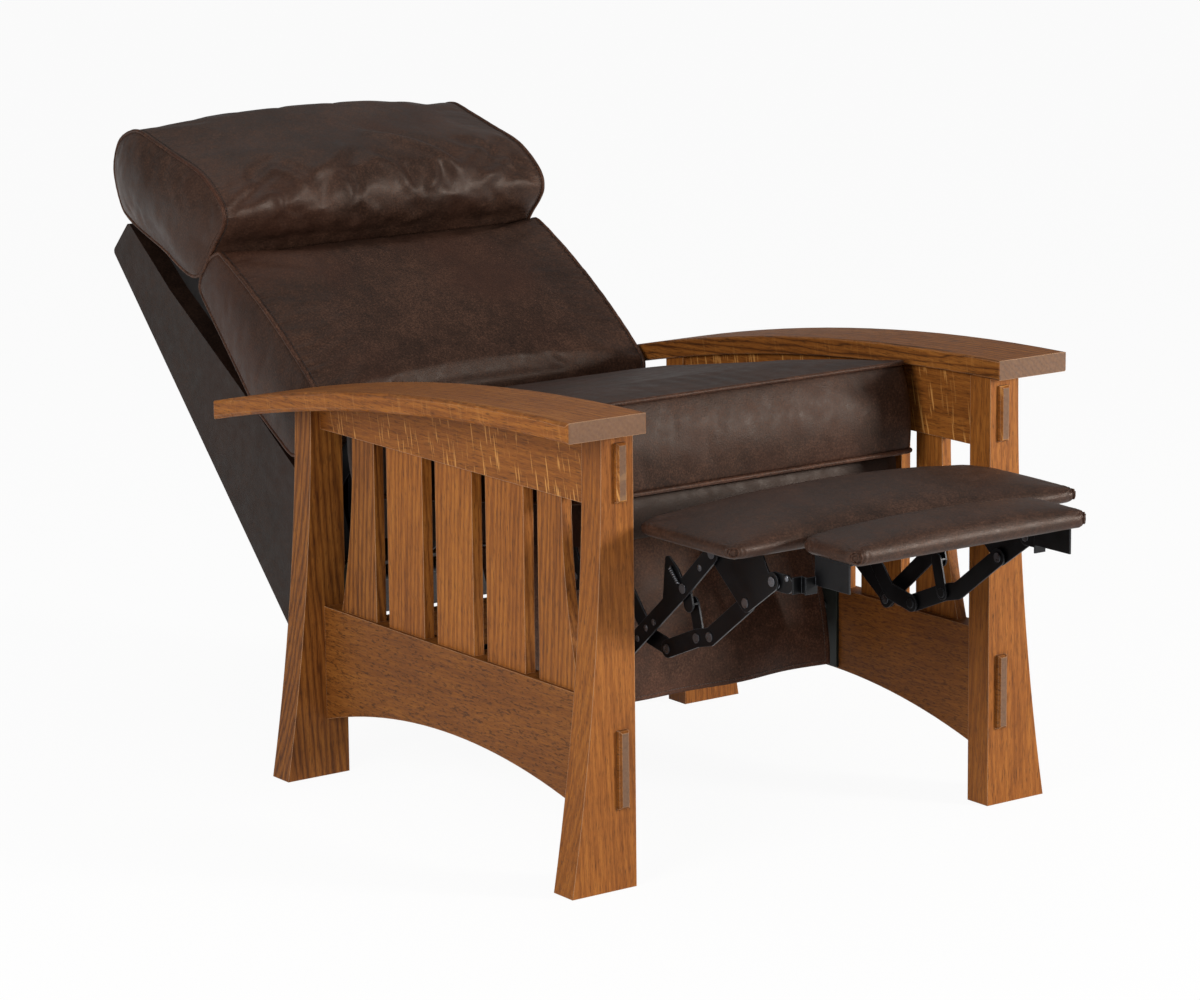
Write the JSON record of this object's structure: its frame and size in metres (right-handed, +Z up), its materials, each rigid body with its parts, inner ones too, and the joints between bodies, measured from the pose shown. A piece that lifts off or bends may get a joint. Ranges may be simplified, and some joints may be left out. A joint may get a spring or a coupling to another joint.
{
  "type": "reclining armchair",
  "caption": "Oak-framed push-back reclining armchair with bowed arms, slatted sides, leather cushions and a folding footrest with a flip-out pad.",
  "frame": {"origin": "centre of the reclined chair's bounding box in plan, on the floor under its feet", "axes": "+X to the sitter's left, +Y rearward, +Z up"},
  "size_m": [0.836, 1.696, 0.8781],
  "materials": {
    "oak": "satin stained oak",
    "inner_wood": "plain frame wood",
    "cushion": "foam cushion in dark espresso leather, semi-gloss",
    "leather_cover": "dark espresso leather, semi-gloss",
    "black_steel": "semi-gloss black",
    "dark_plate": "dark green-black",
    "bright_steel": "zinc plated"
  },
  "bodies": {
    "frame": {"left_arm": "oak", "right_arm": "oak", "left_front_leg": "oak", "right_front_leg": "oak", "left_rear_leg": "oak", "right_rear_leg": "oak", "left_top_rail": "oak", "right_top_rail": "oak", "left_bottom_rail": "oak", "right_bottom_rail": "oak", "left_middle_slats": "oak", "right_middle_slats": "oak", "left_front_slat": "oak", "right_front_slat": "oak", "left_rear_slat": "oak", "right_rear_slat": "oak", "rear_stretcher": "oak", "cross_rail": "oak", "left_base_plate": "dark_plate", "right_base_plate": "dark_plate", "base_tube": "black_steel", "base_screws": "bright_steel"},
    "seat": {"seat_cushion": "cushion", "seat_front_rail": "leather_cover", "seat_rear_rail": "inner_wood", "left_seat_side_rail": "inner_wood", "right_seat_side_rail": "inner_wood", "seat_springs": "bright_steel", "spring_clips": "bright_steel", "left_seat_side_plate": "black_steel", "right_seat_side_plate": "black_steel", "seat_tube": "black_steel", "tilt_tube": "black_steel", "apron_batten": "inner_wood", "pivot_pins": "bright_steel", "back_pins": "bright_steel"},
    "back": {"back_shell": "leather_cover", "back_boards": "inner_wood", "back_rails": "inner_wood", "back_springs": "bright_steel", "back_cushion": "cushion", "headrest_pillow": "cushion", "back_brackets": "black_steel"},
    "apron": {"front_apron": "leather_cover"},
    "drive_links": {"drive_links": "black_steel", "drive_rivets": "bright_steel"},
    "lift_arms": {"lift_arms": "black_steel", "arm_rivets": "bright_steel", "return_springs": "bright_steel"},
    "cross_links": {"cross_links": "black_steel"},
    "lower_links": {"lower_links": "black_steel", "lower_rivets": "bright_steel"},
    "rear_links": {"rear_links": "black_steel"},
    "footrest": {"footrest_brackets": "black_steel", "footrest_board": "inner_wood", "footrest_pad": "cushion", "bracket_rivets": "bright_steel"},
    "flip_pad": {"flip_board": "inner_wood", "flip_pad": "cushion", "flip_brackets": "black_steel"}
  },
  "joints": [
    {"name": "seat_tilt", "type": "hinge", "parent": "frame", "child": "seat", "pos_m": [0, 0.142, 0.29], "axis": [1, 0, 0], "range_deg": [0, 5.5]},
    {"name": "back_recline", "type": "hinge", "parent": "seat", "child": "back", "pos_m": [0, 0.252, 0.45], "axis": [1, 0, 0], "range_deg": [0, 31]},
    {"name": "footrest_drive", "type": "hinge", "parent": "seat", "child": "drive_links", "pos_m": [0, -0.295, 0.359], "axis": [1, 0, 0], "range_deg": [0, 154.1]},
    {"name": "lift_arm_turn", "type": "hinge", "parent": "drive_links", "child": "lift_arms", "pos_m": [0, -0.406, 0.284], "axis": [1, 0, 0], "range_deg": [-112.1, 0]},
    {"name": "footrest_turn", "type": "hinge", "parent": "lift_arms", "child": "footrest", "pos_m": [0, -0.586, 0.441], "axis": [1, 0, 0], "range_deg": [0, 42.5]},
    {"name": "cross_link_turn", "type": "hinge", "parent": "lift_arms", "child": "cross_links", "pos_m": [0, -0.524, 0.384], "axis": [1, 0, 0], "range_deg": [0, 64.9]},
    {"name": "lower_link_turn", "type": "hinge", "parent": "footrest", "child": "lower_links", "pos_m": [0, -0.651, 0.388], "axis": [1, 0, 0], "range_deg": [-19, 0]},
    {"name": "rear_link_turn", "type": "hinge", "parent": "seat", "child": "rear_links", "pos_m": [0, -0.352, 0.393], "axis": [1, 0, 0], "range_deg": [0, 152.2]},
    {"name": "flip_turn", "type": "hinge", "parent": "footrest", "child": "flip_pad", "pos_m": [0, -0.706, 0.426], "axis": [1, 0, 0], "range_deg": [0, 178]},
    {"name": "apron_swing", "type": "hinge", "parent": "seat", "child": "apron", "pos_m": [0, -0.1355, 0.38], "axis": [1, 0, 0], "range_deg": [0, 15]}
  ],
  "couplings": [
    {"joint": "seat_tilt", "follows": "back_recline", "ratio": 0.17742},
    {"joint": "lift_arm_turn", "follows": "footrest_drive", "ratio": -0.72745},
    {"joint": "footrest_turn", "follows": "footrest_drive", "ratio": 0.27579},
    {"joint": "cross_link_turn", "follows": "footrest_drive", "ratio": 0.42116},
    {"joint": "lower_link_turn", "follows": "footrest_drive", "ratio": -0.1233},
    {"joint": "rear_link_turn", "follows": "footrest_drive", "ratio": 0.98767},
    {"joint": "flip_turn", "follows": "footrest_drive", "ratio": 1.1551},
    {"joint": "apron_swing", "follows": "footrest_drive", "ratio": 0.097339}
  ]
}
